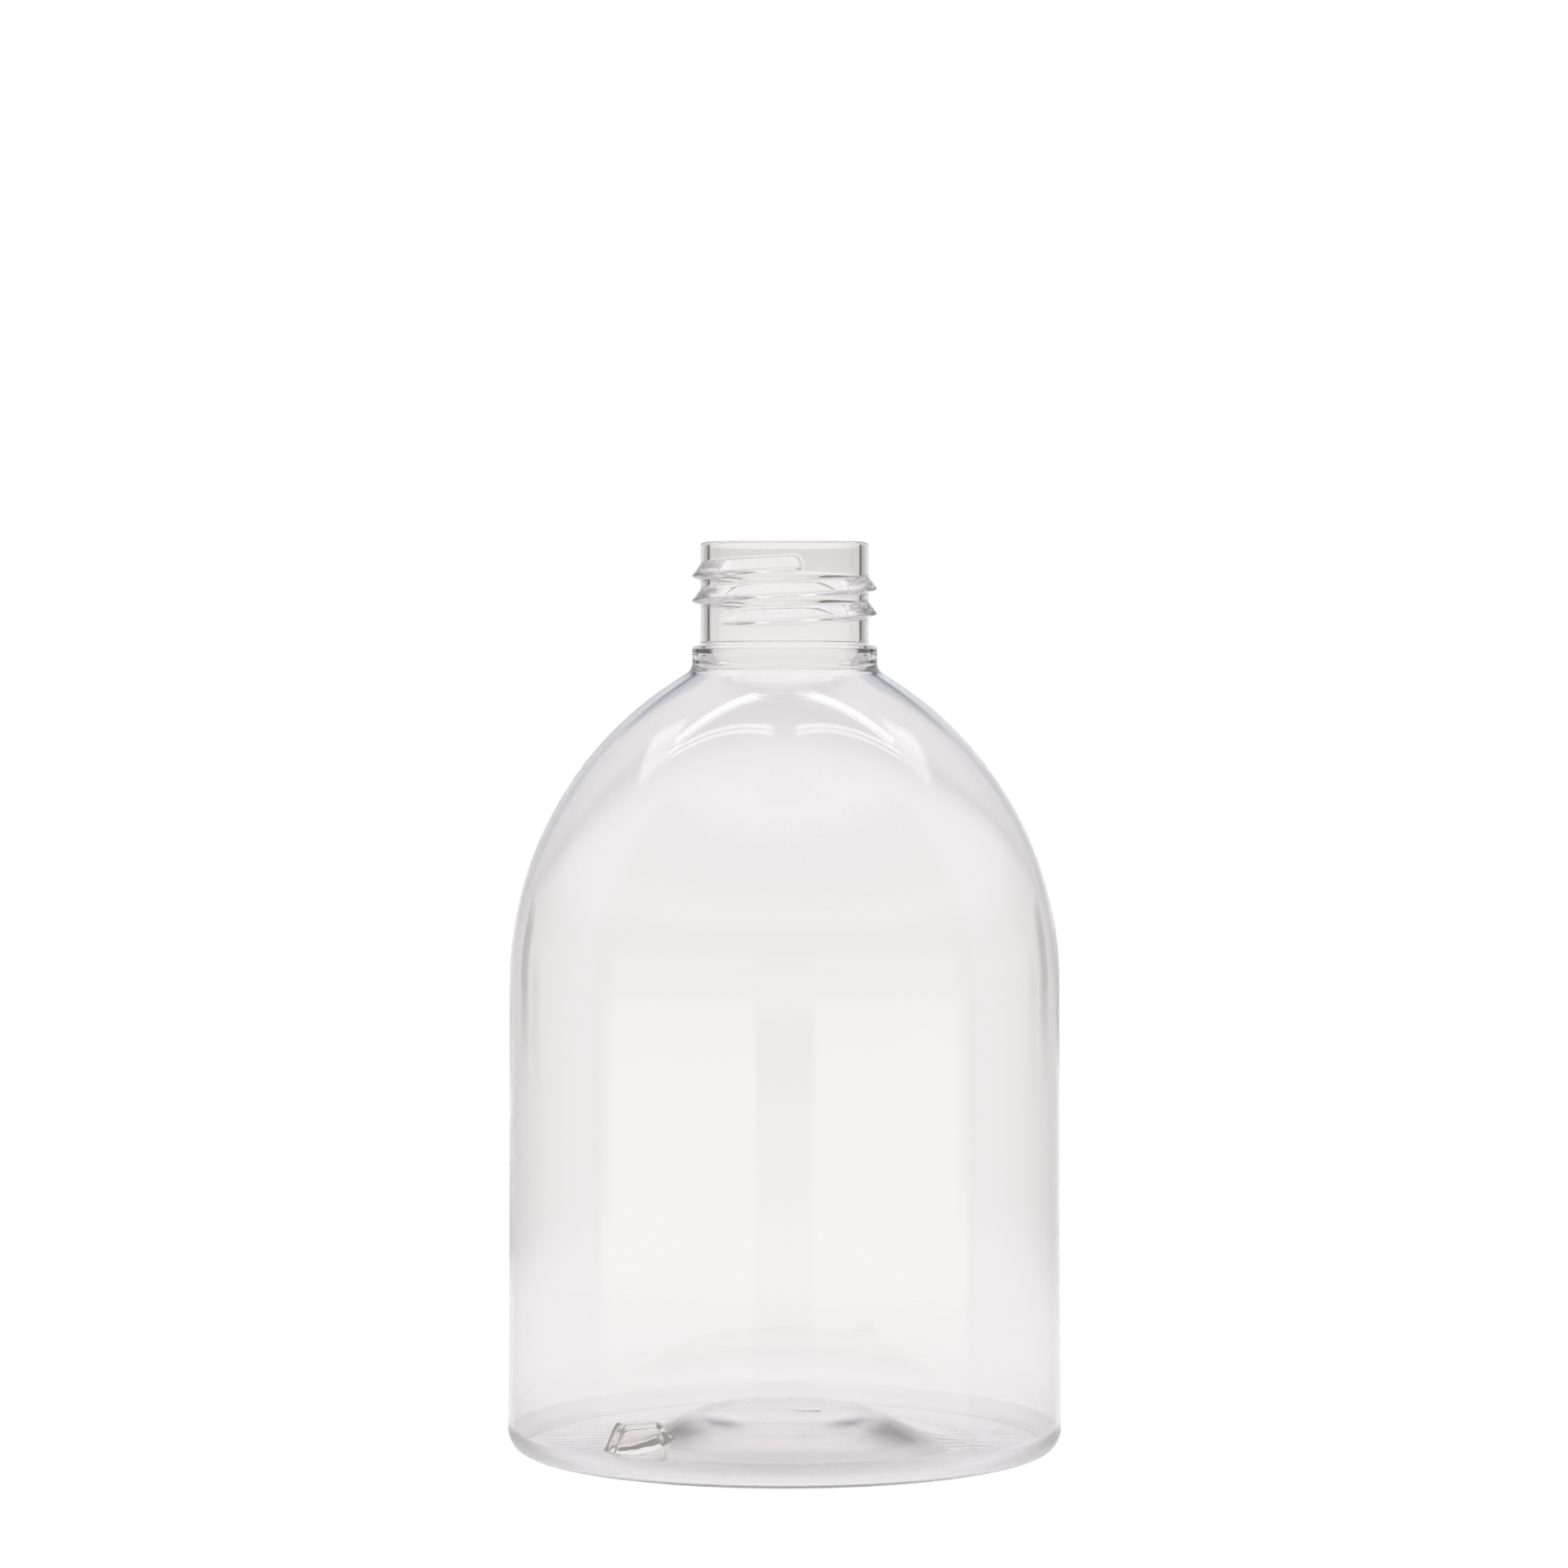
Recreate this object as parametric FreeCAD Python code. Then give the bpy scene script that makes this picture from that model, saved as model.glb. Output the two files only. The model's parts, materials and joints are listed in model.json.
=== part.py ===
import FreeCAD, Part
import math
import os
from FreeCAD import Vector

os.makedirs("parts", exist_ok=True)

# Clear round bottle, blown in one piece. Millimetres, +Z up, origin on the axis at the base plane.

# Overall
overallHeight = 115.2
bodyRadius = 35.0  # outside, where the side meets the shoulder
heelSwell = 0.2  # the side widens by this much on its way down to the heel

# Neck finish, for a 24 mm closure with eight threads to the inch
neckRadius = 10.7  # outside of the neck between the threads
boreRadius = 9.54
finishHeight = 16.2  # rim to where the shoulder would meet the bead
rimRound = 0.45  # outer corner of the rim
mouthBevel = 0.3  # inner corner of the rim
beadRadius = 11.8
beadHeight = 3.05
beadRound = 0.5  # top edge of the bead
beadFillet = 1.5  # between the shoulder and the bead
neckFillet = 0.4  # between the bead and the neck

# Thread, right-handed, buttress section, solid with the neck
threadPitch = 3.175
threadDepth = 1.13  # crest above the neck
threadTurns = 2.09
threadDrop = 3.46  # rim down to the crest at the upper end
threadEndAngle = -84.0  # where the upper end stands about the axis, 0 along +X
threadFoot = 2.0  # width of the ridge on the neck
loadFoot = 0.5  # part of the foot that lies below the crest, under the steep flank
crestWidth = 0.5  # at the foot of the crest's bevels
crestFlat = 0.25  # between the bevels
crestBevel = 0.2  # height of the bevels
threadSink = 0.35  # the ridge starts this far inside the neck wall
runOutEase = 0.3  # smallest radius on which an end of the ridge turns into the wall

# Shoulder: one arc that leaves the side upright and ends in a cone under the bead
shoulderAngle = 56.5  # cone's lean from the vertical, degrees
coneRun = 2.85  # cone, measured along the radius

# Walls
sideWall = 0.6
shoulderWall = 0.95
flareRadius = 5.5  # inside, where the bore opens into the shoulder
ringWall = 0.75
footWall = 0.9  # at the foot of the pushed-up floor
discWall = 1.3

# Base: heel, standing ring, and a floor pushed up like a low bell, thickest on its flank
heelRadius = 2.6
ringWidth = 0.8
pushUp = 3.3  # underside of the bell's flat top above the base plane
crownUnder = 10.4  # where the top and the flank would meet, on the underside
footUnder = 18.8  # where the flank would meet the flat around the bell
footRise = 0.1  # height of that corner above the base plane
crownInside = 11.4  # the same two corners on the inside
footInside = 19.2
crownRoundUnder = 15.0
crownRoundInside = 9.0
footRound = 16.0

# Gate mark, a low button under the disc
gateRadius = 1.1
gateHeight = 0.35
gateBevel = 0.15
gateOffset = 2.7  # along +X

# Index pocket, pressed up into the floor to turn the bottle by
pocketAngle = 204.0  # about the axis, 0 along +X
pocketCentre = 20.0  # from the axis
pocketLength = 8.4  # along the radius
pocketWidth = 6.4
pocketRoof = 3.4  # above the base plane
pocketRound = 1.2
pocketWall = 0.9

joinGap = 0.002  # closed where the thread's ends meet its ridge

origin = Vector(0, 0, 0)
up = Vector(0, 0, 1)


def at(radius, height):
    """A point of a section in the XZ plane."""
    return Vector(radius, 0, height)


def line(start, end):
    return Part.LineSegment(start, end).toShape()


def roundArc(centreRadius, centreHeight, radius, startAngle, endAngle):
    """An arc about a centre in the XZ plane, angles in degrees from outwards."""
    points = []
    for degrees in (startAngle, (startAngle + endAngle) / 2, endAngle):
        angle = math.radians(degrees)
        points.append(at(centreRadius + radius * math.cos(angle), centreHeight + radius * math.sin(angle)))
    return Part.Arc(*points).toShape()


# Directions at the shoulder's cone: along it towards the neck, and square to it into the bottle
lean = math.radians(shoulderAngle)
coneUp = at(-math.sin(lean), math.cos(lean))
coneIn = at(-math.cos(lean), -math.sin(lean))

beadBottom = overallHeight - finishHeight
beadTop = beadBottom + beadHeight
coneTop = at(beadRadius, beadBottom)
coneFoot = coneTop - coneUp * (coneRun / math.sin(lean))


def shoulderArc(side, foot):
    """Radius and starting height of the arc from an upright side to the cone's foot."""
    radius = (side - foot.x) / (1 - math.cos(lean))
    return radius, foot.z - radius * math.sin(lean)


def rounded(corners, radii):
    """Straight edges through the corners, each inner corner turned on its own radius or left sharp at 0."""
    edges = []
    start = corners[0]
    for before, corner, after, radius in zip(corners, corners[1:], corners[2:], radii):
        if radius == 0:
            edges.append(line(start, corner))
            start = corner
            continue
        back = (before - corner).normalize()
        onward = (after - corner).normalize()
        half = back.getAngle(onward) / 2
        arcStart = corner + back * (radius / math.tan(half))
        arcEnd = corner + onward * (radius / math.tan(half))
        inward = (back + onward).normalize()
        middle = corner + inward * (radius / math.sin(half) - radius)
        edges += [line(start, arcStart), Part.Arc(arcStart, middle, arcEnd).toShape()]
        start = arcEnd
    edges.append(line(start, corners[-1]))
    return edges


ringEdge = bodyRadius + heelSwell - heelRadius
ringInside = ringEdge - ringWidth


def outerForm():
    """The bottle's outside as a solid, without its thread."""
    domeRadius, domeStart = shoulderArc(bodyRadius, coneFoot)
    floor = [
        at(0, pushUp),
        at(crownUnder, pushUp),
        at(footUnder, footRise),
        at(ringInside, 0),
        at(ringEdge, 0),
    ]
    edges = rounded(floor, [crownRoundUnder, footRound, 0]) + [
        roundArc(ringEdge, heelRadius, heelRadius, -90, 0),
        line(at(bodyRadius + heelSwell, heelRadius), at(bodyRadius, domeStart)),
        roundArc(bodyRadius - domeRadius, domeStart, domeRadius, 0, shoulderAngle),
    ]
    neck = [
        coneFoot,
        coneTop,
        at(beadRadius, beadTop),
        at(neckRadius, beadTop),
        at(neckRadius, overallHeight),
        at(0, overallHeight),
        at(0, pushUp),
    ]
    edges += rounded(neck, [beadFillet, beadRound, neckFillet, rimRound, 0])
    return revolved(edges)


def cavityForm():
    """The space inside the bottle, running out through the mouth."""
    innerFoot = coneFoot + coneIn * shoulderWall
    innerSide = bodyRadius - sideWall
    domeRadius, domeStart = shoulderArc(innerSide, innerFoot)

    floorTop = pushUp + discWall
    innerHeel = heelRadius - sideWall
    floorEdge = at(innerSide + heelSwell - innerHeel, ringWall)
    heelTop = at(innerSide + heelSwell, ringWall + innerHeel)
    floor = [at(0, floorTop), at(crownInside, floorTop), at(footInside, footRise + footWall), floorEdge]
    edges = rounded(floor, [crownRoundInside, footRound]) + [
        roundArc(floorEdge.x, heelTop.z, innerHeel, -90, 0),
        line(heelTop, at(innerSide, domeStart)),
        roundArc(innerSide - domeRadius, domeStart, domeRadius, 0, shoulderAngle),
    ]

    # The bore and the inner cone would meet in the second corner here, which the flare rounds
    clear = overallHeight + mouthBevel
    mouth = [
        innerFoot,
        innerFoot + coneUp * ((innerFoot.x - boreRadius) / math.sin(lean)),
        at(boreRadius, overallHeight - mouthBevel),
        at(boreRadius + mouthBevel, overallHeight),
        at(boreRadius + mouthBevel, clear),
        at(0, clear),
        at(0, floorTop),
    ]
    edges += rounded(mouth, [flareRadius, 0, 0, 0, 0])
    print("bore upright from", round(mouth[1].z + flareRadius * math.tan(lean / 2), 3))
    return revolved(edges)


def revolved(edges):
    return Part.Face(Part.Wire(edges)).revolve(origin, up, 360)


def threadSection():
    """The ridge's section at the crest's height 0, steep flank below."""
    crest = neckRadius + threadDepth
    bevelFoot = crest - crestBevel
    half = crestWidth / 2
    flankRise = bevelFoot - neckRadius
    reach = flankRise + threadSink
    # Both flanks run on straight into the neck wall
    lowerLean = (loadFoot - half) / flankRise
    upperLean = (threadFoot - loadFoot - half) / flankRise
    corners = [
        at(bevelFoot - reach, -half - lowerLean * reach),
        at(bevelFoot, -half),
        at(crest, -crestFlat / 2),
        at(crest, crestFlat / 2),
        at(bevelFoot, half),
        at(bevelFoot - reach, half + upperLean * reach),
    ]
    return Part.makePolygon(corners + corners[:1])


def thread():
    """The ridge with an end that turns into the neck wall at each side, as separate solids."""
    crest = neckRadius + threadDepth
    rise = threadPitch * threadTurns
    helix = Part.makeHelix(threadPitch, rise, crest)
    section = threadSection()
    ridge = Part.Wire(helix).makePipeShell([section], True, True)

    # Each end swings about an upright axis inside the wall, so its crest sinks as it goes round
    turn = threadDepth + threadSink + runOutEase
    pivot = at(crest - turn, 0)
    lowerEnd = Part.Face(section).revolve(pivot, up, -90)
    upperEnd = Part.Face(section).revolve(pivot, up, 90)
    upperEnd.rotate(origin, up, 360 * threadTurns)
    upperEnd.translate(up * rise)

    pieces = [ridge, lowerEnd, upperEnd]
    for piece in pieces:
        piece.rotate(origin, up, threadEndAngle - 360 * threadTurns)
        piece.translate(up * (overallHeight - threadDrop - rise))
    return pieces


def pocketBlock(wall):
    """The index pocket's form, grown by a wall, standing up from below the base."""
    length = pocketLength + 2 * wall
    width = pocketWidth + 2 * wall
    depth = pocketRoof + pocketCentre
    corner = Vector(pocketCentre - length / 2, -width / 2, -pocketCentre)
    block = Part.makeBox(length, width, depth + wall, corner)
    standing = [edge for edge in block.Edges if edge.BoundBox.ZMax > 0]
    block = block.makeFillet(pocketRound + wall, standing)
    block.rotate(origin, up, pocketAngle)
    return block


def gateButton():
    button = Part.makeCylinder(gateRadius, gateHeight + discWall / 2, Vector(gateOffset, 0, pushUp - gateHeight))
    rim = [edge for edge in button.Edges if edge.BoundBox.ZMax < pushUp - gateHeight / 2]
    return button.makeChamfer(gateBevel, rim)


outside = outerForm().fuse([gateButton()] + thread(), joinGap)
outside = outside.cut(pocketBlock(0))
inside = cavityForm().cut(pocketBlock(pocketWall))
bottle = outside.cut(inside).removeSplitter()

print("bead upright from", round(beadBottom + beadFillet * math.tan(lean / 2), 3))
print("valid", bottle.isValid(), "solids", len(bottle.Solids), "faces", len(bottle.Faces))
size = bottle.optimalBoundingBox(False)
print("volume", round(bottle.Volume, 1), "across", round(size.XLength, 2), "high", round(size.ZLength, 2))
print("holds", round(inside.Volume / 1000, 1), "ml to the brim")
bottle.exportStep("parts/bottle.step")
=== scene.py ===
import json
import math

import bmesh
import bpy
import numpy as np
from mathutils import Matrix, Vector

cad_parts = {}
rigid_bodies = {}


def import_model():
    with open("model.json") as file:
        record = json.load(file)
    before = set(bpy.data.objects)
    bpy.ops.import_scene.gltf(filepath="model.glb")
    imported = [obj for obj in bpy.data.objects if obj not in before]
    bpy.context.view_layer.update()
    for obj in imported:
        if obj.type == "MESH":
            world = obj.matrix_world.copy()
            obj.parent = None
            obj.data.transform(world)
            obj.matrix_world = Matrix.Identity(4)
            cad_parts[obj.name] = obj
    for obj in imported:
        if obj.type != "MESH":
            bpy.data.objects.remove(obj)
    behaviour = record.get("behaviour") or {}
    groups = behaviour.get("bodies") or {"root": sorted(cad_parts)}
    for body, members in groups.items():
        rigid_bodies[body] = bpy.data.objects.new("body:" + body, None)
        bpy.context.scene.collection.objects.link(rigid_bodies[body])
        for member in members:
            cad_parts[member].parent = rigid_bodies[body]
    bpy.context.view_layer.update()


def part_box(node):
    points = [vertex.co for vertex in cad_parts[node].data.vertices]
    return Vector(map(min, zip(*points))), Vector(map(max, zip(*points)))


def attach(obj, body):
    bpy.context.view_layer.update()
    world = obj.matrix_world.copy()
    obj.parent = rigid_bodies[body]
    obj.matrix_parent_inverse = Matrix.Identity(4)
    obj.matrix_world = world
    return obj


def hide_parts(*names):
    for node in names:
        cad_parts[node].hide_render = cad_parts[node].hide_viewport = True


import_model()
low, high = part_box("bottle")
mm = 0.001

# Body and walls, in millimetres; the height and the widest radius are the frame's
body = {
    "height": high.z / mm,
    "widest": high.x / mm,
    "side": 35.0,  # radius under the shoulder
    "swellTop": 36.0,  # below this height the side widens
    "swellPower": 1.3,
    "heelRise": 3.0,
    "heelRun": 2.3,
    "innerHeelRise": 2.6,
    "innerHeelRun": 2.0,
    "ringWidth": 0.8,
    "coneLean": 56.5,  # cone under the bead, degrees from upright
    "coneRun": 2.85,
    "sideWall": 0.6,
    "shoulderWall": 0.95,
    "ringWall": 0.75,
    "unevenWall": 0.02,  # how far the blown wall varies from true
    "unevenLength": 22.0,
    "unevenWaves": 9,
    "unevenSeed": 11,
    "unevenLow": (3.0, 15.0),  # it sets in between these heights
    "unevenHigh": 5.0,  # and ends between this far below and above the cone's top
}

lean = math.radians(body["coneLean"])
coneUp = np.array([-math.sin(lean), math.cos(lean)])
coneIn = np.array([-math.cos(lean), -math.sin(lean)])
swell = body["widest"] - body["side"]
ringEdge = body["widest"] - body["heelRun"]
ringInside = ringEdge - body["ringWidth"]


def run(start, end, steps):  # even points from start up to, but without, end
    start, end = np.array(start, float), np.array(end, float)
    return start + (end - start) * (np.arange(steps)[:, None] / steps)


def arc(centre, radius, fromAngle, toAngle, steps):
    angles = np.radians(fromAngle + (toAngle - fromAngle) * np.arange(steps) / steps)
    return np.stack([centre[0] + radius * np.cos(angles), centre[1] + radius * np.sin(angles)], 1)


def section(radii, heights):
    return np.stack([np.asarray(radii, float), np.asarray(heights, float)], 1)


def ease(x):
    x = np.clip(x, 0, 1)
    return x * x * (3 - 2 * x)


def sideRadius(z, base):
    down = np.clip((body["swellTop"] - z) / (body["swellTop"] - body["heelRise"]), 0, 1)
    return base + swell * down ** body["swellPower"]


def shoulderArc(side, foot):  # radius and start of the arc from the side to the cone
    radius = (side - foot[0]) / (1 - math.cos(lean))
    return radius, foot[1] - radius * math.sin(lean)


def turnUpright(corner, radius, steps):  # from the cone to a line straight up
    reach = radius * math.tan(lean / 2)
    turn = arc((corner[0] + radius, corner[1] + reach), radius, 180 + body["coneLean"], 180, steps)
    return corner - coneUp * reach, turn, corner[1] + reach


def unevenness():  # a smooth field on the skin: angle and height in, millimetres out
    source = np.random.default_rng(body["unevenSeed"])
    terms = []
    for _ in range(body["unevenWaves"]):
        lobes = source.integers(1, 4)  # one to three around
        climb = source.uniform(0.2, 1.0) * 2 * math.pi / body["unevenLength"] * source.choice([-1, 1])
        start = source.uniform(0, 2 * math.pi)
        weight = source.uniform(0.4, 1) / lobes ** 0.6  # weaker where there are more lobes
        terms.append((lobes, climb, start, weight))
    total = math.sqrt(sum(term[3] ** 2 for term in terms) / 2)

    def field(angle, z):
        waves = 0
        for lobes, climb, start, weight in terms:
            waves = waves + weight * np.cos(lobes * angle + climb * z + start)
        return body["unevenWall"] / total * waves

    return field


uneven = unevenness()
print("body: height", round(body["height"], 2), "radius", round(body["widest"], 2))

# Neck with its bead
neck = {
    "radius": 10.7,
    "bore": 9.54,
    "toBead": 16.2,  # rim down to where the cone meets the bead
    "bead": 11.8,
    "beadHeight": 3.05,
    "beadRound": 0.5,
    "beadFillet": 1.5,
    "neckFillet": 0.4,
    "rimRound": 0.45,
    "mouthRound": 0.3,
    "flare": 5.5,
}

coneTop = np.array([neck["bead"], body["height"] - neck["toBead"]])
coneFoot = coneTop - coneUp * (body["coneRun"] / math.sin(lean))

# Screw thread, right-handed, its crest's section about the crest's own height
thread = {
    "pitch": 3.175,
    "depth": 1.13,
    "drop": 3.46,  # rim down to the crest at the upper end
    "turns": 2.09,
    "endAngle": -84.0,
    "lowerFoot": -0.5,
    "lowerEdge": -0.25,
    "upperEdge": 0.25,
    "upperFoot": 1.5,
    "edgeDepth": 0.93,  # where the crest starts to round off
    "soften": 0.09,  # corners are averaged over this much to both sides
    "softenSteps": 7,
    "upperRunOut": 5.0,  # degrees in which an end sinks into the wall
    "lowerRunOut": 22.0,
    "sink": 1.05,  # how deep, as a share of the ridge
    "clearLow": 0.9,  # plain wall kept in its grid, below the lower crest and above the upper
    "clearHigh": 1.9,
}

threadLow = body["height"] - thread["drop"] - thread["pitch"] * thread["turns"]
bandLow = threadLow - thread["clearLow"]
bandHigh = body["height"] - thread["drop"] + thread["clearHigh"]
threadEnd = math.radians(thread["endAngle"])
threadStart = threadEnd - 2 * math.pi * thread["turns"]


def threadOut(angle, z):  # how far the ridge stands out of the neck
    pitch, depth = thread["pitch"], thread["depth"]
    knots = [thread["lowerFoot"], thread["lowerEdge"], 0, thread["upperEdge"], thread["upperFoot"]]
    depths = [0, thread["edgeDepth"], depth, thread["edgeDepth"], 0]
    steps = thread["softenSteps"]
    shifts = np.linspace(-1, 1, steps) * thread["soften"]
    out = np.zeros_like(z)
    for turn in range(-5, 6):  # more turns both ways than the ridge has
        along = angle + 2 * math.pi * turn
        offset = z - threadLow - pitch * (along - threadStart) / (2 * math.pi)
        ridge = sum(np.interp(offset + shift, knots, depths) for shift in shifts) / steps
        pastUpper = (along - threadEnd) / math.radians(thread["upperRunOut"])
        pastLower = (threadStart - along) / math.radians(thread["lowerRunOut"])
        past = np.clip(np.maximum(pastUpper, pastLower), 0, 1)
        left = np.sqrt(np.clip(1 - past ** 2, 0, 1))
        out = np.maximum(out, ridge - depth * (1 - left) * thread["sink"])
    return np.maximum(out, 0)


# Floor: a low bell pushed up from outside, thickest on its flank
bell = {
    "underTop": 3.34,
    "underLow": 0.05,
    "underCrown": 8.45,  # radius where the top ends
    "underFoot": 22.79,
    "underRound": 1.86,
    "underTail": 3.07,
    "insideTop": 4.65,
    "insideLow": 0.95,
    "insideCrown": 10.28,
    "insideFoot": 23.72,
    "insideRound": 1.75,
    "insideTail": 3.5,
    "clearAbove": 6.0,  # everything on the floor ends below this height
    "gate": 1.1,  # the small button under its middle
    "gateHeight": 0.22,
    "gateOffset": 2.7,
    "gateEnd": 1.2,  # its side, as shares of its radius
    "gateSide": 0.9,
}


def bellCurve(r, crown, foot, crownRound, tail):
    x = np.clip((r - crown) / (foot - crown), 0, 1)
    return (1 - x ** crownRound) ** tail


def floorUnder(r):
    foot = bell["underFoot"]
    flat = bell["underLow"] * (1 - np.clip((r - foot) / (ringInside - foot), 0, 1))
    lift = bell["underTop"] - bell["underLow"]
    return flat + lift * bellCurve(r, bell["underCrown"], foot, bell["underRound"], bell["underTail"])


def floorInside(r):
    foot = bell["insideFoot"]
    edge = body["widest"] - body["sideWall"] - body["innerHeelRun"]
    drop = (body["ringWall"] - bell["insideLow"]) * np.clip((r - foot) / (edge - foot), 0, 1)
    lift = bell["insideTop"] - bell["insideLow"]
    curve = bellCurve(r, bell["insideCrown"], foot, bell["insideRound"], bell["insideTail"])
    return bell["insideLow"] + drop + lift * curve


# Index pocket, pressed up into the floor
pocket = {
    "angle": 204.0,
    "centre": 20.0,
    "length": 8.4,  # along the radius
    "width": 6.4,
    "roof": 3.4,
    "slope": 2.3,  # its sides lean in over this width
    "wall": 0.9,
    "wallSlope": 0.6,  # added to the slope inside, as a share of the wall
    "foot": 1.0,  # its form starts this far under the base plane
}


def pocketTop(x, y, wall):  # height of the pocket's form grown by a wall; outside it, under the floor
    a = math.radians(pocket["angle"])
    u = x * math.cos(a) + y * math.sin(a) - pocket["centre"]
    v = -x * math.sin(a) + y * math.cos(a)
    slope = pocket["slope"] + wall * pocket["wallSlope"]
    du = np.maximum(np.abs(u) - (pocket["length"] / 2 + wall - slope), 0)
    dv = np.maximum(np.abs(v) - (pocket["width"] / 2 + wall - slope), 0)
    away = np.sqrt(du * du + dv * dv) / slope
    roof = pocket["roof"] + wall
    return roof - (roof + pocket["foot"]) * ease(away)


def gateDown(x, y):
    away = np.sqrt((x - bell["gateOffset"]) ** 2 + y * y) / bell["gate"]
    return bell["gateHeight"] * ease((bell["gateEnd"] - away) / bell["gateSide"])


# How finely the skin is divided
skin = {
    "columnStep": 1.5,  # degrees
    "lastColumn": 359.5,
    "fineStep": 0.6,  # around the pocket
    "fineHalf": 18.0,
    "firstRing": 0.4,
    "floorStep": 0.9,  # along the radius
    "fineFloorStep": 0.36,
    "fineFloor": (13.5, 26.5),
    "lastFloorRows": 7,
    "heelRows": (12, 11),  # outside and inside
    "sideRows": (12, 16),
    "domeRows": (28, 26),
    "filletRows": 7,
    "flareRows": 12,
    "outerRoundRows": 6,
    "innerRoundRows": 5,
    "shortRow": 0.25,
    "flat": 1e-9,  # a face lower than this is left out of the thread's grid
    # Within one pitch, closest on the steep flank
    "threadRows": (
        -0.66, -0.56, -0.47, -0.38, -0.3, -0.22, -0.12, 0.0, 0.12, 0.22,
        0.33, 0.55, 0.85, 1.15, 1.36, 1.48, 1.6, 1.8, 2.05, 2.3,
    ),
    "weld": 2e-6,  # metres
    "sliver": 1e-7,
}


def columnAngles():
    angles, angle = [], 0.0
    while angle < skin["lastColumn"]:
        angles.append(angle)
        near = abs(angle - pocket["angle"]) < skin["fineHalf"]
        angle += skin["fineStep"] if near else skin["columnStep"]
    return np.radians(np.array(angles) * 360 / angle)


theta = columnAngles()
around = len(theta)


def floorRadii(edge):
    fineFrom, fineTo = skin["fineFloor"]
    return np.concatenate([
        np.arange(skin["firstRing"], fineFrom, skin["floorStep"]),
        np.arange(fineFrom, fineTo, skin["fineFloorStep"]),
        np.linspace(fineTo, edge, skin["lastFloorRows"], endpoint=False),
    ])


def tallRows(start, end, steps):  # with a short row at both ends, so that a curve's shading stops there
    rows = np.linspace(start, end, steps, endpoint=False)
    short = math.copysign(skin["shortRow"], end - start)
    return np.concatenate([rows[:1], [start + short], rows[1:], [end - short]])


def upright(radius, start, end, steps):
    z = tallRows(start, end, steps)
    return section(np.full(len(z), radius), z)


def outsideUp():  # from the middle of the underside to the foot of the thread
    r = floorRadii(ringInside)
    a = np.radians(np.linspace(-90, 0, skin["heelRows"][0], endpoint=False))
    domeRadius, domeStart = shoulderArc(body["side"], coneFoot)
    z = tallRows(body["heelRise"], domeStart, skin["sideRows"][0])
    filletStart, fillet, beadStart = turnUpright(coneTop, neck["beadFillet"], skin["filletRows"])
    beadTop = coneTop[1] + neck["beadHeight"]
    beadCorner = (neck["bead"] - neck["beadRound"], beadTop - neck["beadRound"])
    neckCorner = (neck["radius"] + neck["neckFillet"], beadTop + neck["neckFillet"])
    return np.vstack([
        section(r, floorUnder(r)),
        run((ringInside, 0), (ringEdge, 0), 3),
        section(ringEdge + body["heelRun"] * np.cos(a), body["heelRise"] * (1 + np.sin(a))),
        section(sideRadius(z, body["side"]), z),
        arc((body["side"] - domeRadius, domeStart), domeRadius, 0, body["coneLean"], skin["domeRows"][0]),
        run(coneFoot, filletStart, 2),
        fillet,
        run((neck["bead"], beadStart), (neck["bead"], beadCorner[1]), 2),
        arc(beadCorner, neck["beadRound"], 0, 90, skin["outerRoundRows"]),
        run((beadCorner[0], beadTop), (neckCorner[0], beadTop), 1),
        arc(neckCorner, neck["neckFillet"], -90, -180, skin["innerRoundRows"]),
        upright(neck["radius"], neckCorner[1], bandLow, 1),
        [[neck["radius"], bandLow]],
    ])


def rimOver():  # from the top of the thread over the rim
    top = body["height"]
    outer, inner = neck["rimRound"], neck["mouthRound"]
    return np.vstack([
        upright(neck["radius"], bandHigh, top - outer, 1),
        arc((neck["radius"] - outer, top - outer), outer, 0, 90, skin["outerRoundRows"]),
        run((neck["radius"] - outer, top), (neck["bore"] + inner, top), 2),
        arc((neck["bore"] + inner, top - inner), inner, 90, 180, skin["innerRoundRows"]),
    ])


def insideDown():  # from the mouth to the middle of the floor
    foot = coneFoot + coneIn * body["shoulderWall"]
    side = body["side"] - body["sideWall"]
    domeRadius, domeStart = shoulderArc(side, foot)
    corner = foot + coneUp * ((foot[0] - neck["bore"]) / math.sin(lean))
    flareStart, flare, boreStart = turnUpright(corner, neck["flare"], skin["flareRows"])
    heelRun, heelRise = body["innerHeelRun"], body["innerHeelRise"]
    heelTop = body["ringWall"] + heelRise
    edge = side + swell - heelRun
    z = tallRows(domeStart, heelTop, skin["sideRows"][1])
    a = np.radians(np.linspace(0, -90, skin["heelRows"][1], endpoint=False))
    r = np.append(floorRadii(edge), edge)[::-1]
    shoulder = arc((side - domeRadius, domeStart), domeRadius, 0, body["coneLean"], skin["domeRows"][1])
    return np.vstack([
        upright(neck["bore"], body["height"] - neck["mouthRound"], boreStart, 3),
        [[neck["bore"], boreStart]],
        flare[:0:-1],
        run(flareStart, foot, 3),
        [foot],
        shoulder[:0:-1],
        section(sideRadius(z, side), z),
        section(edge + heelRun * np.cos(a), heelTop + heelRise * np.sin(a)),
        section(r, floorInside(r)),
    ])


def threadGrid():  # rows that climb with the thread, cut off level at both ends of the band
    rows = np.array(skin["threadRows"])
    offsets = np.concatenate([rows + thread["pitch"] * turn for turn in range(-6, 4)])  # past both ends
    angles = np.append(theta, 2 * math.pi)
    climb = thread["pitch"] * (angles - threadStart) / (2 * math.pi)
    z = threadLow + offsets[:, None] + climb[None, :]
    first = int(np.argmax(z.max(1) > bandLow)) - 1
    last = int(np.argmax(z.min(1) >= bandHigh)) + 1
    return angles, np.clip(z[first:last], bandLow, bandHigh)


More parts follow.
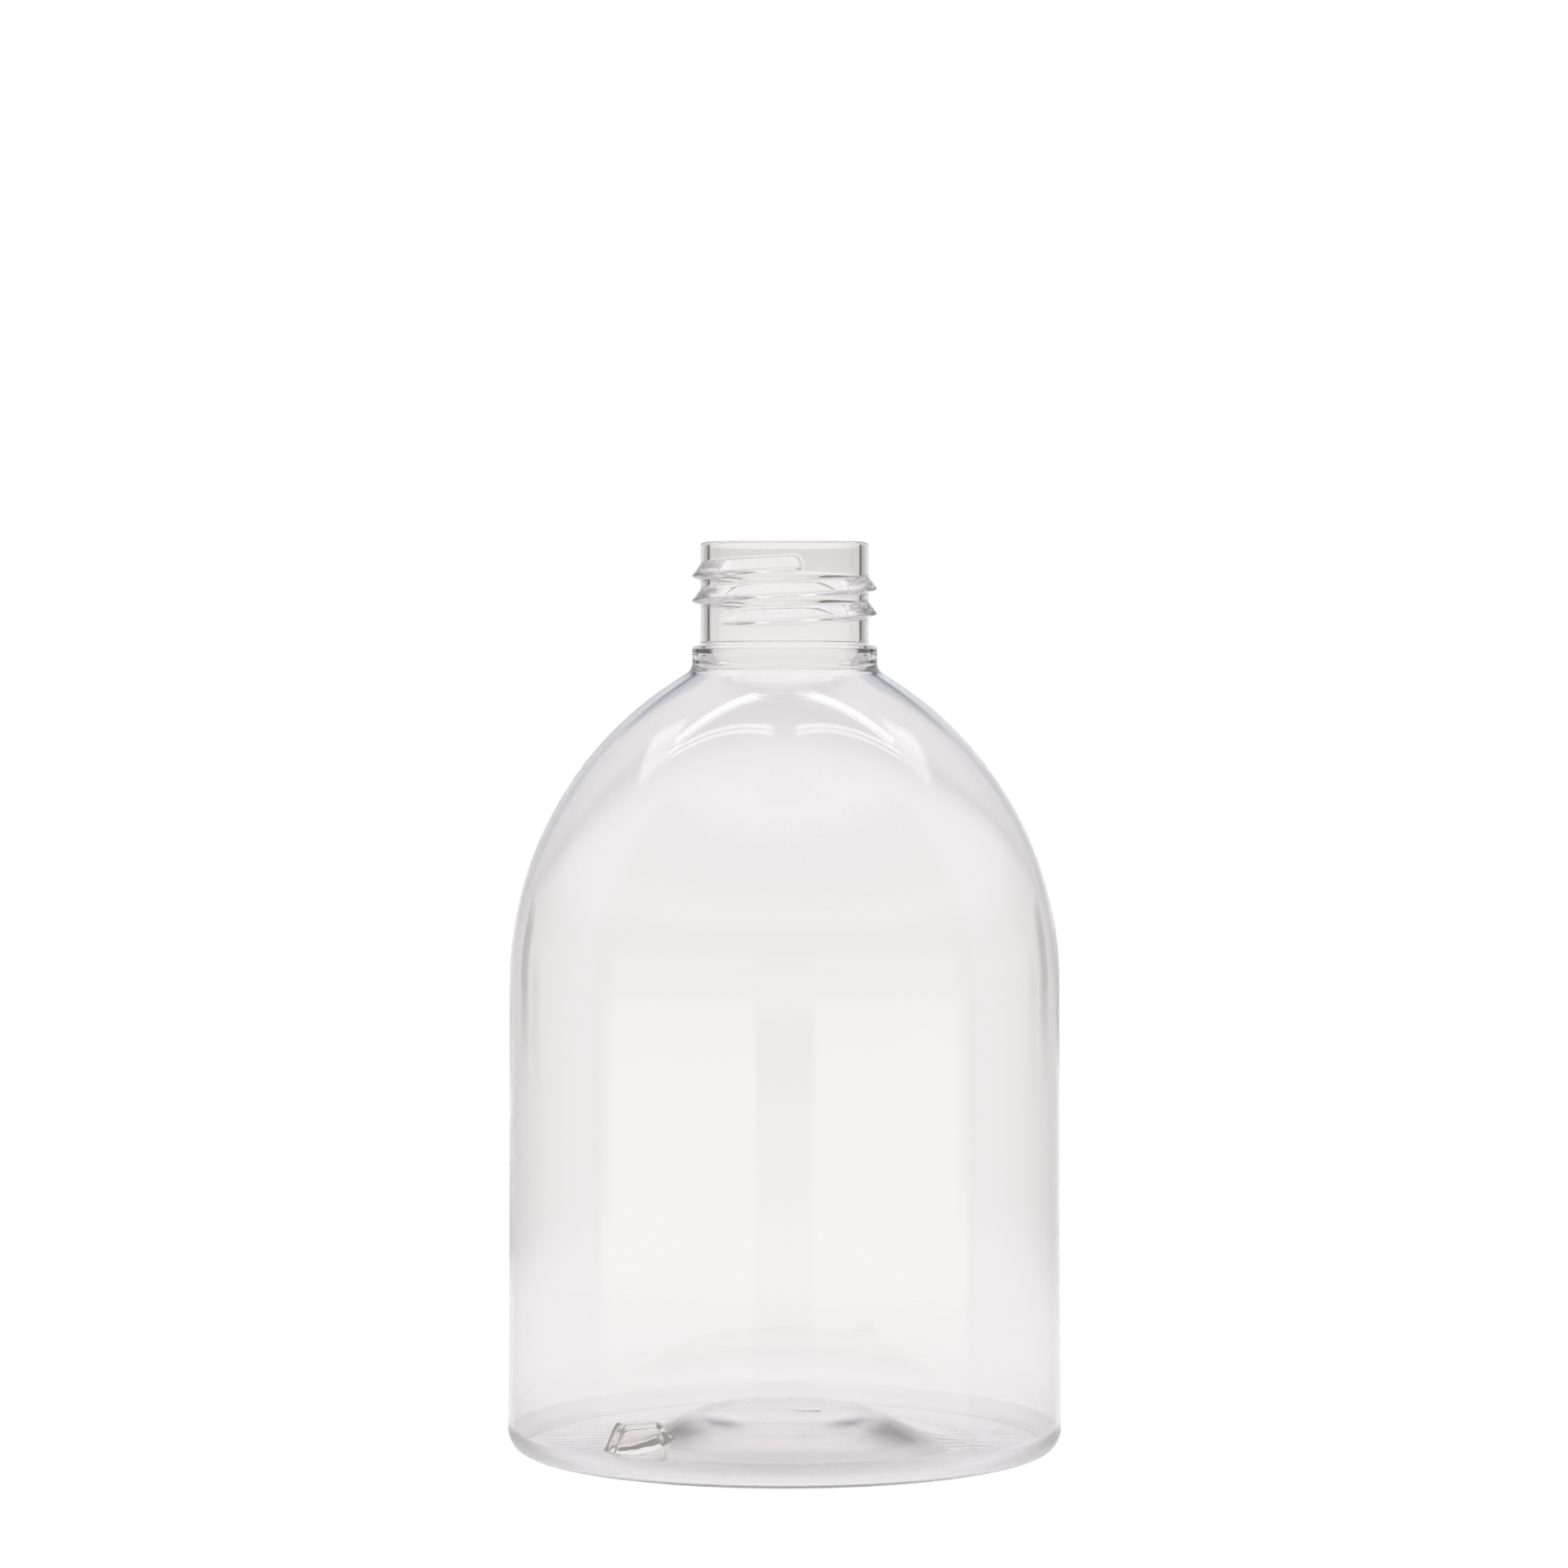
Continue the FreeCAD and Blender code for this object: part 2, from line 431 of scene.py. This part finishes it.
def makeBottle():
    points, faces = [], []

    def count():
        return sum(len(block) for block in points)

    def addRing(radius, height):
        start = count()
        points.append(np.stack([radius * np.cos(theta), radius * np.sin(theta), height], 1))
        return start

    def addMiddle(height):
        start = count()
        points.append(np.array([[0, 0, height]]))
        return start

    def join(before, after):
        for i in range(around):
            j = (i + 1) % around
            faces.append((before + i, before + j, after + j, after + i))

    one = np.ones(around)
    middle = addMiddle(bell["underTop"])
    before = None
    for r, z in outsideUp():
        height = one * z
        if z < bell["clearAbove"]:
            x, y = r * np.cos(theta), r * np.sin(theta)
            height = np.maximum(height, pocketTop(x, y, 0)) - gateDown(x, y)
        after = addRing(one * r, height)
        if before is None:
            for i in range(around):
                faces.append((middle, after + (i + 1) % around, after + i))
        else:
            join(before, after)
        before = after

    angles, z = threadGrid()
    radius = neck["radius"] + threadOut(angles[None, :], z)
    start, columns = count(), len(angles)
    points.append(np.stack([radius * np.cos(angles), radius * np.sin(angles), z], 2).reshape(-1, 3))
    for j in range(len(z) - 1):
        for i in range(columns - 1):
            if max(z[j + 1, i] - z[j, i], z[j + 1, i + 1] - z[j, i + 1]) > skin["flat"]:
                a = start + j * columns + i
                faces.append((a, a + 1, a + columns + 1, a + columns))

    before = None
    for r, z in rimOver():
        after = addRing(one * r, one * z)
        if before is not None:
            join(before, after)
        before = after

    fadeFrom, fadeTo = body["unevenLow"]
    fadeHigh = body["unevenHigh"]
    for r, z in insideDown():
        fade = ease((coneTop[1] + fadeHigh - z) / (2 * fadeHigh))
        fade *= ease((z - fadeFrom) / (fadeTo - fadeFrom))
        height = one * z
        if z < bell["clearAbove"]:
            height = np.maximum(height, pocketTop(r * np.cos(theta), r * np.sin(theta), pocket["wall"]))
        after = addRing(r + uneven(theta, z) * fade, height)
        join(before, after)
        before = after
    middle = addMiddle(bell["insideTop"])
    for i in range(around):
        faces.append((before + i, before + (i + 1) % around, middle))

    mesh = bpy.data.meshes.new("bottleSkin")
    mesh.from_pydata((np.vstack(points) * mm).tolist(), [], faces)
    piece = bpy.data.objects.new("bottleSkin", mesh)
    bpy.context.scene.collection.objects.link(piece)
    return piece


def weld(piece):
    bm = bmesh.new()
    bm.from_mesh(piece.data)
    bmesh.ops.remove_doubles(bm, verts=bm.verts, dist=skin["weld"])
    bmesh.ops.dissolve_degenerate(bm, edges=bm.edges, dist=skin["sliver"])
    bmesh.ops.recalc_face_normals(bm, faces=bm.faces)
    openEdges = sum(len(edge.link_faces) != 2 for edge in bm.edges)
    triangles = sum(len(face.verts) - 2 for face in bm.faces)
    bm.to_mesh(piece.data)
    bm.free()
    piece.data.polygons.foreach_set("use_smooth", [True] * len(piece.data.polygons))
    print("bottle:", triangles, "triangles,", openEdges, "open edges")


bottlePiece = makeBottle()
weld(bottlePiece)


def grey(level):
    return (level, level, level, 1)


class Nodes:  # makes and joins shader nodes
    def __init__(self, tree):
        tree.nodes.clear()
        self.tree = tree

    def add(self, kind, **settings):
        node = self.tree.nodes.new("ShaderNode" + kind)
        for name, value in settings.items():
            setattr(node, name, value)
        return node

    def feed(self, socket, value):
        if isinstance(value, bpy.types.NodeSocket):
            self.tree.links.new(value, socket)
        else:
            socket.default_value = value

    def math(self, operation, *values):
        node = self.add("Math", operation=operation)
        for socket, value in zip(node.inputs, values):
            self.feed(socket, value)
        return node.outputs[0]

    def step(self, value, start, end):  # 0 at start, 1 at end, eased
        node = self.add("MapRange", interpolation_type="SMOOTHSTEP")
        self.feed(node.inputs["Value"], value)
        self.feed(node.inputs["From Min"], start)
        self.feed(node.inputs["From Max"], end)
        return node.outputs["Result"]

    def within(self, value, start, end, soft):  # 1 between start and end
        rise = self.step(value, start - soft / 2, start + soft / 2)
        return self.math("MULTIPLY", rise, self.step(value, end + soft / 2, end - soft / 2))

    def blend(self, share, first, second):
        node = self.add("Mix", data_type="RGBA")
        self.feed(node.inputs["Factor"], share)
        self.feed(node.inputs[6], first)
        self.feed(node.inputs[7], second)
        return node.outputs[2]

    def ramp(self, value, stops):
        node = self.add("ValToRGB")
        elements = node.color_ramp.elements
        for number, (position, colour) in enumerate(stops):
            element = elements[number] if number < 2 else elements.new(position)
            element.position = position
            element.color = colour
        self.feed(node.inputs[0], value)
        return node.outputs["Color"]

    def levels(self, value, stops):  # level or colour against a value in its own units
        first, last = stops[0][0], stops[-1][0]
        place = self.math("DIVIDE", self.math("SUBTRACT", value, first), last - first)
        scaled = []
        for at, level in stops:
            colour = grey(level) if isinstance(level, float) else level
            scaled.append(((at - first) / (last - first), colour))
        return self.ramp(place, scaled)

    def times(self, first, second):
        node = self.add("Mix", data_type="RGBA", blend_type="MULTIPLY")
        node.inputs["Factor"].default_value = 1
        self.feed(node.inputs[6], first)
        self.feed(node.inputs[7], second)
        return node.outputs[2]


# Clear blown plastic; lengths in millimetres
plastic = {
    "colour": (0.998, 0.980, 0.986, 1),
    "ior": 1.575,
    "roughness": 0.0,
    "clear": 0.972,  # the rest is a faint haze
    "ripple": 0.006,
    "rippleScale": 120.0,
    "rippleDetail": 1.0,
    "fold": 0.03,  # folds that run outwards on the floor around the bell
    "foldScale": 26.0,
    "foldDetail": 2.0,
    "foldReach": (22.0, 31.0),
    "foldSoft": 4.0,
    "foldTop": (2.6, 1.6),  # heights between which they set in
    "foldSides": (0.7, 0.92),  # towards both sides, as the share of x in the radius
    "bellRough": 0.09,  # the bell's flank is a little less smooth
    "bellReach": (9.0, 25.0),
    "bellSoft": 2.0,
    "bellTop": (5.4, 4.9),
    "heelTop": 3.0,  # below this height the outside is a little frosted
    "heelClear": 0.93,
    "heelRough": 0.25,
    "strokeDepth": 0.12,  # a row of plain strokes on the floor, the end ones narrower
    "strokeWidth": 0.28,  # half of it, and half the length
    "strokeLength": 1.5,
    "strokeSoft": 0.12,
    "strokeEndSoft": 0.3,
    "strokeGap": 2.6,
    "strokeReach": 2,  # gaps to both sides
    "strokeCut": 0.1,
    "strokeTop": (3.4, 3.0),
    "strokeAngle": 25.0,
    "strokeMiddle": (21.4, -3.0),
}


def clearPlastic(name, clear, roughness):
    material = bpy.data.materials.new(name)
    material.use_nodes = True
    n = Nodes(material.node_tree)
    coord = n.add("TexCoord").outputs["Object"]
    split = n.add("SeparateXYZ")
    n.feed(split.inputs[0], coord)
    x, y, z = (n.math("MULTIPLY", part, 1 / mm) for part in split.outputs)
    radius = n.math("SQRT", n.math("ADD", n.math("MULTIPLY", x, x), n.math("MULTIPLY", y, y)))

    # Ripples left by the blowing, all over
    ripple = n.add("TexNoise")
    n.feed(ripple.inputs["Vector"], coord)
    n.feed(ripple.inputs["Scale"], plastic["rippleScale"])
    n.feed(ripple.inputs["Detail"], plastic["rippleDetail"])
    height = n.math("MULTIPLY", ripple.outputs["Fac"], plastic["ripple"])

    # Fine folds that run outwards across the floor
    outwards = n.add("CombineXYZ")
    n.feed(outwards.inputs["X"], n.math("DIVIDE", x, radius))
    n.feed(outwards.inputs["Y"], n.math("DIVIDE", y, radius))
    fold = n.add("TexNoise")
    n.feed(fold.inputs["Vector"], outwards.outputs[0])
    n.feed(fold.inputs["Scale"], plastic["foldScale"])
    n.feed(fold.inputs["Detail"], plastic["foldDetail"])
    onFloor = n.within(radius, *plastic["foldReach"], plastic["foldSoft"])
    onFloor = n.math("MULTIPLY", onFloor, n.step(z, *plastic["foldTop"]))
    sideways = n.math("ABSOLUTE", n.math("DIVIDE", x, radius))
    onFloor = n.math("MULTIPLY", onFloor, n.step(sideways, *plastic["foldSides"]))
    folds = n.math("MULTIPLY", n.math("MULTIPLY", fold.outputs["Fac"], onFloor), plastic["fold"])
    height = n.math("ADD", height, folds)

    # Plain strokes, raised on the floor to the right
    a = math.radians(plastic["strokeAngle"])
    middleX, middleY = plastic["strokeMiddle"]
    dx, dy = n.math("SUBTRACT", x, middleX), n.math("SUBTRACT", y, middleY)
    across = n.math("ADD", n.math("MULTIPLY", dx, math.cos(a)), n.math("MULTIPLY", dy, math.sin(a)))
    along = n.math("SUBTRACT", n.math("MULTIPLY", dy, math.cos(a)), n.math("MULTIPLY", dx, math.sin(a)))
    gap, reach = plastic["strokeGap"], plastic["strokeGap"] * plastic["strokeReach"]
    wide, soft = plastic["strokeWidth"], plastic["strokeSoft"]
    length = plastic["strokeLength"]
    inRow = n.math("ABSOLUTE", n.math("WRAP", along, gap / 2, -gap / 2))
    stroke = n.step(inRow, wide + soft, wide - soft)
    stroke = n.math("MULTIPLY", stroke, n.within(across, -length, length, plastic["strokeEndSoft"]))
    stroke = n.math("MULTIPLY", stroke, n.within(along, -reach, reach, plastic["strokeCut"]))
    stroke = n.math("MULTIPLY", stroke, n.step(z, *plastic["strokeTop"]))
    height = n.math("ADD", height, n.math("MULTIPLY", stroke, plastic["strokeDepth"]))

    bump = n.add("Bump")
    n.feed(bump.inputs["Height"], height)
    n.feed(bump.inputs["Distance"], mm)
    shader = n.add("BsdfPrincipled")
    n.feed(shader.inputs["Base Color"], plastic["colour"])
    n.feed(shader.inputs["Transmission Weight"], clear)
    n.feed(shader.inputs["IOR"], plastic["ior"])
    onBell = n.within(radius, *plastic["bellReach"], plastic["bellSoft"])
    onBell = n.math("MULTIPLY", onBell, n.step(z, *plastic["bellTop"]))
    n.feed(shader.inputs["Roughness"], n.math("MULTIPLY_ADD", onBell, plastic["bellRough"], roughness))
    n.feed(shader.inputs["Normal"], bump.outputs[0])
    n.feed(n.add("OutputMaterial").inputs["Surface"], shader.outputs[0])
    return material


bottlePiece.data.materials.append(clearPlastic("clearPlastic", plastic["clear"], plastic["roughness"]))
bottlePiece.data.materials.append(clearPlastic("heelPlastic", plastic["heelClear"], plastic["heelRough"]))
for face in bottlePiece.data.polygons:
    x, y, z = face.center / mm
    radius = math.hypot(x, y)
    outwards = (face.normal.x * x + face.normal.y * y) / radius
    if z < plastic["heelTop"] and radius > ringInside and outwards > face.normal.z:
        face.material_index = 1
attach(bottlePiece, "root")
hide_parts("bottle")
print("plastic: done")

# Studio all around, read by direction: 0 degrees is straight behind the bottle, 180 at the camera
studio = {
    "round": (
        (0.0, 1.0), (7.0, 1.0), (14.0, 0.84), (31.0, 0.56), (92.0, 0.56), (100.0, 0.25), (180.0, 0.25),
    ),
    # The backdrop's share by height, behind the bottle
    "high": (
        (-0.3, 1.0), (0.5, 0.94), (1.5, 0.88), (8.0, (0.84, 0.85, 0.88, 1)), (30.0, (0.82, 0.83, 0.86, 1)),
        (46.0, 1.0),
    ),
    "highRound": (34.0, 18.0),  # it sets in between these
    "slit": 0.05,  # narrow dark slit at both sides, which draws the neck's two upright lines
    "slitRound": (36.5, 45.0, 1.5),  # from, to and how soft
    "slitHigh": (-4.0, 6.0, 2.0),
    "shade": (0.22, 0.25, 0.32, 1),  # dark panel high up at both sides, mirrored under the bead
    "shadeRound": (11.5, 25.0, 3.0),
    "shadeHigh": (20.0, 38.0, 3.0),
    "ground": (0.90, 0.90, 0.91, 1),  # steeply below
    "groundHigh": (-11.0, -21.0),
    "sky": (0.70, 0.70, 0.71, 1),  # above the bottle
    "skyHigh": (44.0, 60.0),
    "box": (1.0, 0.97, 0.76, 1),  # a soft box at each side of the camera
    "boxRound": (95.0, 101.0),
    "boxTop": (52.0, 15.0),  # it fades out upwards
    # Its level by height, and the share of it that is left between the two
    "boxHigh": (
        (-10.0, 0.5), (-7.4, 0.8), (-6.0, 0.98), (-5.0, 0.96), (-4.0, 0.88), (-3.0, 0.80), (0.0, 0.62),
        (15.0, 0.5), (52.0, 0.0),
    ),
    "gapHigh": ((-7.0, 0.8), (-6.0, 0.72), (-4.0, 0.5), (-3.2, 0.9), (-2.5, 1.0), (52.0, 1.0)),
    "gapRound": (166.0, 170.0),
    "panel": 1.5,  # bright panel overhead at both sides
    "panelRound": (46.0, 70.0, 4.0),
    "panelHigh": (42.0, 52.0, 2.0),
    "bar": 3.0,  # two long lamps overhead, front and back, open in the middle
    "bars": (((0.07, 0.02), (0.74, 0.31), 0.021), ((0.04, 0.35), (0.68, 0.38), 0.044)),  # ends, half width
    "barEdge": 0.6,  # full light up to this share of the half width
    "barEnds": 0.06,
    "barLow": (0.3, 0.4),  # they set in between these heights, as z of the direction
    "barPlane": 0.2,  # lowest z that a place is worked out from
    "crossings": 3.5,  # more than this many skins crossed is right through both walls
    "turns": 1.5,  # and fewer turns than this is straight; a ray that was never mirrored has 1 here
    "straight": ((0.2, 1.0), (0.7, 0.93), (1.4, 0.74), (2.2, 0.9), (4.0, 0.97), (40.0, 0.97)),  # by height
    "straightShare": 0.8,
}


def makeWorld():
    world = bpy.data.worlds.new("studio")
    bpy.context.scene.world = world
    world.use_nodes = True
    n = Nodes(world.node_tree)
    split = n.add("SeparateXYZ")
    n.feed(split.inputs[0], n.add("TexCoord").outputs["Generated"])
    x, y, z = split.outputs
    side = n.math("ABSOLUTE", x)
    turn = n.math("MULTIPLY", n.math("ARCTAN2", side, y), 180 / math.pi)
    rise = n.math("MULTIPLY", n.math("ARCSINE", z), 180 / math.pi)

    def patch(light, name, colour):  # a colour laid over part of the studio
        across = n.within(turn, *studio[name + "Round"])
        share = n.math("MULTIPLY", across, n.within(rise, *studio[name + "High"]))
        return n.blend(share, light, colour)

    light = n.levels(turn, studio["round"])
    high = n.times(light, n.levels(rise, studio["high"]))
    light = n.blend(n.step(turn, *studio["highRound"]), light, high)
    light = patch(light, "shade", studio["shade"])
    light = patch(light, "slit", grey(studio["slit"]))
    light = n.blend(n.step(rise, *studio["groundHigh"]), light, studio["ground"])
    light = n.blend(n.step(rise, *studio["skyHigh"]), light, studio["sky"])
    box = n.times(n.levels(rise, studio["boxHigh"]), studio["box"])
    gap = n.blend(n.step(turn, *studio["gapRound"]), grey(1), n.levels(rise, studio["gapHigh"]))
    share = n.math("MULTIPLY", n.step(turn, *studio["boxRound"]), n.step(rise, *studio["boxTop"]))
    light = n.blend(share, light, n.times(box, gap))
    light = patch(light, "panel", grey(studio["panel"]))

    # The long lamps lie in a level plane overhead, where places are x/z and y/z
    above = n.math("MAXIMUM", z, studio["barPlane"])
    u, v = n.math("DIVIDE", side, above), n.math("DIVIDE", y, above)
    for (startU, startV), (endU, endV), wide in studio["bars"]:
        spanU, spanV = endU - startU, endV - startV
        square = spanU ** 2 + spanV ** 2
        du, dv = n.math("SUBTRACT", u, startU), n.math("SUBTRACT", v, startV)
        along = n.math("MULTIPLY", du, spanU / square)
        along = n.math("ADD", along, n.math("MULTIPLY", dv, spanV / square))
        off = n.math("SUBTRACT", n.math("MULTIPLY", dv, spanU), n.math("MULTIPLY", du, spanV))
        off = n.math("DIVIDE", n.math("ABSOLUTE", off), math.sqrt(square))
        lamp = n.step(off, wide, wide * studio["barEdge"])
        lamp = n.math("MULTIPLY", lamp, n.within(along, 0, 1, studio["barEnds"]))
        lamp = n.math("MULTIPLY", lamp, n.step(z, *studio["barLow"]))
        light = n.blend(lamp, light, grey(studio["bar"]))

    # White where it is seen directly, and near white straight through both walls
    path = n.add("LightPath")
    through = n.math("GREATER_THAN", path.outputs["Transmission Depth"], studio["crossings"])
    turns = n.math("SUBTRACT", path.outputs["Ray Depth"], path.outputs["Transmission Depth"])
    straight = n.math("MULTIPLY", through, n.math("LESS_THAN", turns, studio["turns"]))
    share = n.math("MULTIPLY", straight, studio["straightShare"])
    light = n.blend(share, light, n.levels(rise, studio["straight"]))
    light = n.blend(path.outputs["Is Camera Ray"], light, grey(1))
    background = n.add("Background")
    n.feed(background.inputs["Color"], light)
    n.feed(n.add("OutputWorld").inputs["Surface"], background.outputs[0])


makeWorld()
print("studio: done")

# Pale table, with a painted shadow under the bottle
table = {
    "radius": 0.26,  # metres
    "colour": 0.8,
    "shadowShare": 0.12,
    "glow": 0.97,
    "corners": 96,
    # Painted shadow under the bottle, slightly blue and darkest under the bell: its level by millimetres
    # from a middle in front of the axis, as the bottle's plastic sees it; the camera sees the table plain
    # white
    "under": ((0, 0.75), (8, 0.77), (15, 0.98), (23, 0.97), (34, 0.94), (44, 0.96), (60, 0.96)),
    "underMiddle": (0, -8),
    "underTint": (0.985, 0.985, 1.0),
    "fade": (0.25, 0.13),  # only the camera sees it further out, metres
}


def makeTable():
    radius, corners = table["radius"], table["corners"]
    angles = np.linspace(0, 2 * math.pi, corners + 1)[:-1]
    mesh = bpy.data.meshes.new("table")
    edge = [(radius * math.cos(a), radius * math.sin(a), 0) for a in angles]
    mesh.from_pydata(edge, [], [list(range(corners))])
    piece = bpy.data.objects.new("table", mesh)
    bpy.context.scene.collection.objects.link(piece)
    material = bpy.data.materials.new("paleTable")
    material.use_nodes = True
    n = Nodes(material.node_tree)
    away = n.add("VectorMath", operation="DISTANCE")
    n.feed(away.inputs[0], n.add("TexCoord").outputs["Object"])
    n.feed(away.inputs[1], tuple(part * mm for part in table["underMiddle"]) + (0,))
    reach = table["under"][-1][0]
    stops = []
    for distance, level in table["under"]:
        stops.append((distance / reach, tuple(level * part for part in table["underTint"]) + (1,)))
    seen = n.add("LightPath").outputs["Is Camera Ray"]
    glow = n.add("Emission")
    # painted shadow: darker under the bottle for rays through the plastic, plain white for the camera
    shade = n.ramp(n.math("DIVIDE", away.outputs["Value"], reach * mm), stops)
    shade = n.blend(seen, shade, grey(1))
    n.feed(glow.inputs["Color"], shade)
    n.feed(glow.inputs["Strength"], table["glow"] / (1 - table["shadowShare"]))
    matt = n.add("BsdfDiffuse")
    n.feed(matt.inputs["Color"], grey(table["colour"]))
    mix = n.add("MixShader")
    n.feed(mix.inputs["Fac"], 1 - table["shadowShare"])
    n.feed(mix.inputs[1], matt.outputs[0])
    n.feed(mix.inputs[2], glow.outputs[0])
    shown = n.step(away.outputs["Value"], *table["fade"])
    fade = n.add("MixShader")
    n.feed(fade.inputs["Fac"], n.math("MAXIMUM", shown, seen))
    n.feed(fade.inputs[1], n.add("BsdfTransparent").outputs[0])
    n.feed(fade.inputs[2], mix.outputs[0])
    n.feed(n.add("OutputMaterial").inputs["Surface"], fade.outputs[0])
    mesh.materials.append(material)
    piece.visible_glossy = False  # the bottle mirrors the studio, not the table


makeTable()
print("table: done")

# Camera
view = {
    "away": 0.636,
    "height": 0.09866,
    "frame": 1932,
    "axisColumn": 966.7,
    "horizonRow": 828,
    "pixelsPerMetre": 9670,  # at the bottle's axis
    "sensor": 36.0,
    "bounces": 32,  # light runs a long way inside the clear wall
}


def makeCamera():
    data = bpy.data.cameras.new("camera")
    camera = bpy.data.objects.new("camera", data)
    bpy.context.scene.collection.objects.link(camera)
    camera.location = (0, -view["away"], view["height"])
    camera.rotation_euler = (math.radians(90), 0, 0)
    data.sensor_width = view["sensor"]
    data.lens = view["pixelsPerMetre"] * view["away"] / view["frame"] * view["sensor"]
    data.shift_x = (view["frame"] / 2 - view["axisColumn"]) / view["frame"]
    data.shift_y = (view["horizonRow"] - view["frame"] / 2) / view["frame"]
    bpy.context.scene.camera = camera


makeCamera()
scene = bpy.context.scene
scene.view_settings.view_transform = "Standard"
scene.cycles.max_bounces = view["bounces"]
scene.cycles.transmission_bounces = view["bounces"]
scene.cycles.glossy_bounces = view["bounces"]
print("camera: done")
